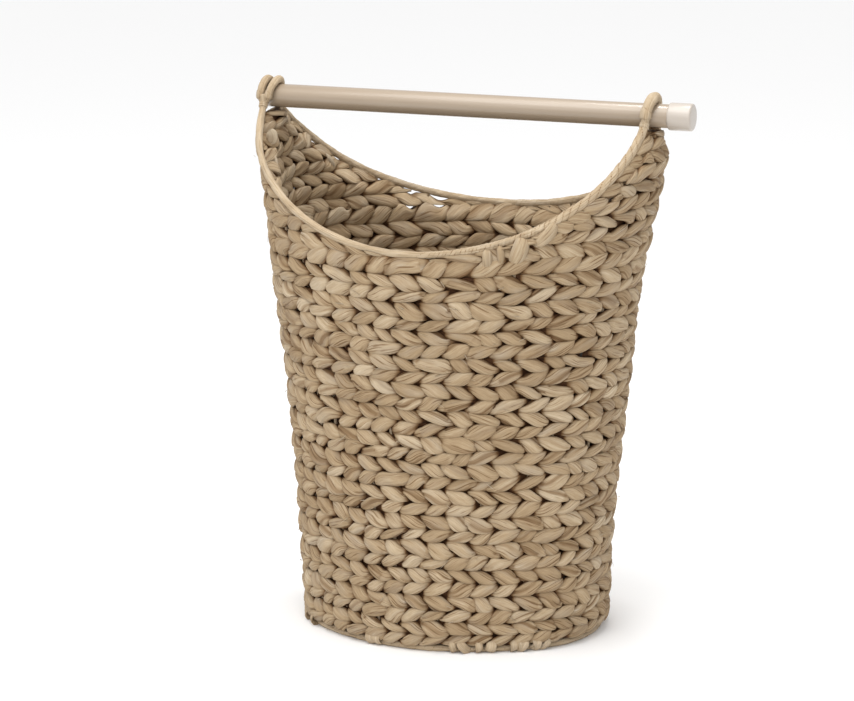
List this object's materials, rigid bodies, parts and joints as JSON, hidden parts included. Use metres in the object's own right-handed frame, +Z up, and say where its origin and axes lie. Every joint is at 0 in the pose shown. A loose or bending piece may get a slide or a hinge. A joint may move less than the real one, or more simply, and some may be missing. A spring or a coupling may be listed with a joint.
{
  "type": "woven laundry basket",
  "caption": "Tall oval basket of twined plant-fibre strand on a wire frame; its two sides rise to wrapped loops that hold a wooden carrying rod.",
  "frame": {"origin": "on the floor, under the middle of the whole object's box, rod knob included", "axes": "+Z up, +X along the handle rod towards its knob, -Y the front"},
  "size_m": [0.4628, 0.3258, 0.5659],
  "materials": {
    "woven_strand": "dry twisted water-hyacinth strand, matt",
    "base_strand": "dry water-hyacinth strand, matt, darker",
    "wrapping_strand": "thin hyacinth strand wrapped tight round wire, low sheen",
    "frame_wire": "black painted steel wire",
    "rod_wood": "pale sanded hardwood, unvarnished",
    "knob_wood": "paler turned hardwood, unvarnished"
  },
  "bodies": {
    "basket": {"base_centre": "base_strand", "base_hoop": "wrapping_strand", "base_round_1": "base_strand", "base_round_2": "base_strand", "base_round_3": "base_strand", "base_wire_left": "frame_wire", "base_wire_right": "frame_wire", "left_back_binding": "wrapping_strand", "left_front_binding": "wrapping_strand", "left_loop_inner": "wrapping_strand", "left_loop_outer": "wrapping_strand", "left_wing_course_01": "woven_strand", "left_wing_course_02": "woven_strand", "left_wing_course_03": "woven_strand", "left_wing_course_04": "woven_strand", "left_wing_course_05": "woven_strand", "right_back_binding": "wrapping_strand", "right_front_binding": "wrapping_strand", "right_loop": "wrapping_strand", "right_wing_course_01": "woven_strand", "right_wing_course_02": "woven_strand", "right_wing_course_03": "woven_strand", "right_wing_course_04": "woven_strand", "right_wing_course_05": "woven_strand", "rim_cord_back": "wrapping_strand", "rim_cord_front": "wrapping_strand", "upright_wire_1": "frame_wire", "upright_wire_2": "frame_wire", "upright_wire_3": "frame_wire", "upright_wire_4": "frame_wire", "upright_wire_5": "frame_wire", "upright_wire_6": "frame_wire", "wall_course_01": "woven_strand", "wall_course_02": "woven_strand", "wall_course_03": "woven_strand", "wall_course_04": "woven_strand", "wall_course_05": "woven_strand", "wall_course_06": "woven_strand", "wall_course_07": "woven_strand", "wall_course_08": "woven_strand", "wall_course_09": "woven_strand", "wall_course_10": "woven_strand", "wall_course_11": "woven_strand", "wall_course_12": "woven_strand", "wall_course_13": "woven_strand", "wall_course_14": "woven_strand", "wall_course_15": "woven_strand"},
    "rod": {"carry_rod": "rod_wood", "rod_knob": "knob_wood"}
  },
  "joints": [
    {"name": "rod_slide", "type": "slide", "parent": "basket", "child": "rod", "axis": [1, 0, 0], "range_m": [-0.013, 0.4]}
  ]
}
